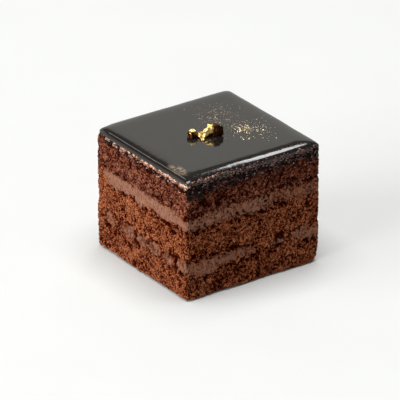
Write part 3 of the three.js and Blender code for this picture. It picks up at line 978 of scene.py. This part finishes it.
class CAKE_OT_stage(bpy.types.Operator):
    """Pale floor, soft studio light and the camera"""

    bl_idname = "cake.stage"
    bl_label = "Set Stage"

    AZIMUTH = -35.08  # degrees
    ELEVATION = 25.86  # degrees
    DISTANCE = 1.939  # m
    AIM_RIGHT = -0.00313  # m from the slice's origin, across the picture
    AIM_UP = 0.02127  # m, up the picture
    FOCAL = 4796.0  # px
    PICTURE = 400  # px, its width and height
    SENSOR = 36.0  # mm

    def execute(self, context):
        scene = context.scene
        settings = scene.cake_stage
        self.lay_floor(scene, settings)
        self.hang_lights(scene, settings)
        self.colour_world(scene)
        self.place_camera(scene)
        scene.view_settings.view_transform = "Standard"
        scene.view_settings.look = "None"
        return {"FINISHED"}

    def lay_floor(self, scene, settings):
        """A wide level floor, far larger than the camera sees."""
        shape = bmesh.new()
        bmesh.ops.create_grid(shape, x_segments=1, y_segments=1, size=3.0)
        mesh = bpy.data.meshes.new("floor")
        shape.to_mesh(mesh)
        shape.free()
        # Matt white board: even and bright, so the slice's own colours show.
        material, tree, shader = new_material("Matt white board")
        tone = mix_colour(tree, pattern(tree, 40.0), settings.floor_colour, srgb("#bebfbe"))
        tree.links.new(tone, shader.inputs["Base Color"])
        shader.inputs["Roughness"].default_value = 0.9
        shader.inputs["Specular IOR Level"].default_value = 0.1
        mesh.materials.append(material)
        floor = bpy.data.objects.new("floor", mesh)
        scene.collection.objects.link(floor)

    def hang_lights(self, scene, settings):
        """A low soft key at the left and a soft box overhead, and two strips that line the glaze's rim."""
        # Name, shape, place and size in m, turn in degrees, whether it is aimed at the slice, and power in W.
        for name, shape, place, size, twist, aimed, power in (
            ("key", "RECTANGLE", (-2.2, 0.235, 0.587), (2.2, 1.03), 0.0, True, settings.key_power),
            ("overhead", "RECTANGLE", (0.0, 0.0, 1.8), (1.4, 1.4), 0.0, False, settings.top_power),
            ("rim_right", "ELLIPSE", (0.623, 0.595, 0.8), (0.066, 0.55), -19.0, False, 0.78),
            ("rim_back", "RECTANGLE", (0.19, 0.87, 0.8), (0.045, 0.36), 0.0, False, 0.24),
        ):
            light = bpy.data.lights.new(name, "AREA")
            light.shape = shape
            light.size, light.size_y = size
            light.energy = power
            lamp = bpy.data.objects.new(name, light)
            scene.collection.objects.link(lamp)
            lamp.location = place
            if aimed:
                towards = Vector(place) - Vector((0, 0, 0.03))
                lamp.rotation_euler = towards.to_track_quat("Z", "Y").to_euler()
            else:
                lamp.rotation_euler = (0, 0, math.radians(twist))

    def colour_world(self, scene):
        """White walls behind and at the left, low enough to show in the glaze, under a dim ceiling."""
        world = bpy.data.worlds.new("studio")
        world.use_nodes = True
        tree = world.node_tree
        tree.nodes.clear()
        direction = add_node(tree, "ShaderNodeTexCoord").outputs["Generated"]
        split = add_node(tree, "ShaderNodeSeparateXYZ", links={"Vector": direction})
        along, across, height = split.outputs
        # The wall's upper edge slopes down to the right. Above it comes the ceiling.
        top = ramp(tree, along, 0.44, 0.54, 0.50, 0.447)
        over = add_node(tree, "ShaderNodeMath", {"operation": "SUBTRACT"}, {0: height, 1: top}).outputs[0]
        wall = ramp(tree, over, -0.008, 0.012, 0.8, 0.13)
        behind = add_node(
            tree, "ShaderNodeMath", {"operation": "MULTIPLY_ADD"}, {0: along, 1: -0.6, 2: across}).outputs[0]
        # The room is a little dimmer on the camera's side.
        side = ramp(tree, behind, -0.3, 0.3, 0.74, 1.0)
        strength = add_node(tree, "ShaderNodeMath", {"operation": "MULTIPLY"}, {0: wall, 1: side}).outputs[0]
        links = {"Color": srgb("#fffdf7"), "Strength": strength}
        light = add_node(tree, "ShaderNodeBackground", links=links)
        add_node(tree, "ShaderNodeOutputWorld", links={"Surface": light.outputs["Background"]})
        scene.world = world

    def place_camera(self, scene):
        """A long lens at the picture's viewing angle."""
        turn, rise = math.radians(self.AZIMUTH), math.radians(self.ELEVATION)
        back = Vector((math.sin(turn) * math.cos(rise), -math.cos(turn) * math.cos(rise), math.sin(rise)))
        right = Vector((math.cos(turn), math.sin(turn), 0))
        up = back.cross(right)
        data = bpy.data.cameras.new("camera")
        data.sensor_width = self.SENSOR
        data.lens = self.FOCAL / self.PICTURE * self.SENSOR
        data.clip_start, data.clip_end = 0.1, 20.0
        camera = bpy.data.objects.new("camera", data)
        scene.collection.objects.link(camera)
        camera.location = right * self.AIM_RIGHT + up * self.AIM_UP + back * self.DISTANCE
        camera.rotation_euler = Matrix((right, up, back)).transposed().to_euler()
        scene.camera = camera


class CAKE_PT_panel(bpy.types.Panel):
    """Buttons for each part of the slice"""

    bl_label = "Chocolate Cake Slice"
    bl_idname = "CAKE_PT_panel"
    bl_space_type = "VIEW_3D"
    bl_region_type = "UI"
    bl_category = "Cake"

    def draw(self, context):
        scene = context.scene
        for settings in SETTINGS:
            group = getattr(scene, settings)
            box = self.layout.box()
            for name in group.bl_rna.properties.keys():
                if name not in ("name", "rna_type"):
                    box.prop(group, name)
        for operator in OPERATORS:
            self.layout.operator(operator.bl_idname)


SETTINGS = {
    "cake_crumb": CrumbSettings,
    "cake_cream": CreamSettings,
    "cake_glaze": GlazeSettings,
    "cake_gold": GoldSettings,
    "cake_stage": StageSettings,
}
OPERATORS = (
    CAKE_OT_stage,
    CAKE_OT_sponges,
    CAKE_OT_creams,
    CAKE_OT_glaze,
    CAKE_OT_rim_crumbs,
    CAKE_OT_foot_crumbs,
    CAKE_OT_gold_leaf,
    CAKE_OT_gold_dust,
)


def register():
    for cls in (*SETTINGS.values(), *OPERATORS, CAKE_PT_panel):
        bpy.utils.register_class(cls)
    for name, cls in SETTINGS.items():
        setattr(bpy.types.Scene, name, PointerProperty(type=cls))


def unregister():
    for name in SETTINGS:
        delattr(bpy.types.Scene, name)
    for cls in reversed((*SETTINGS.values(), *OPERATORS, CAKE_PT_panel)):
        bpy.utils.unregister_class(cls)


def main():
    """Builds the slice and its stage."""
    register()
    for operator in OPERATORS:
        family, name = operator.bl_idname.split(".")
        getattr(getattr(bpy.ops, family), name)()
    bpy.context.view_layer.update()


if __name__ == "__main__":
    main()
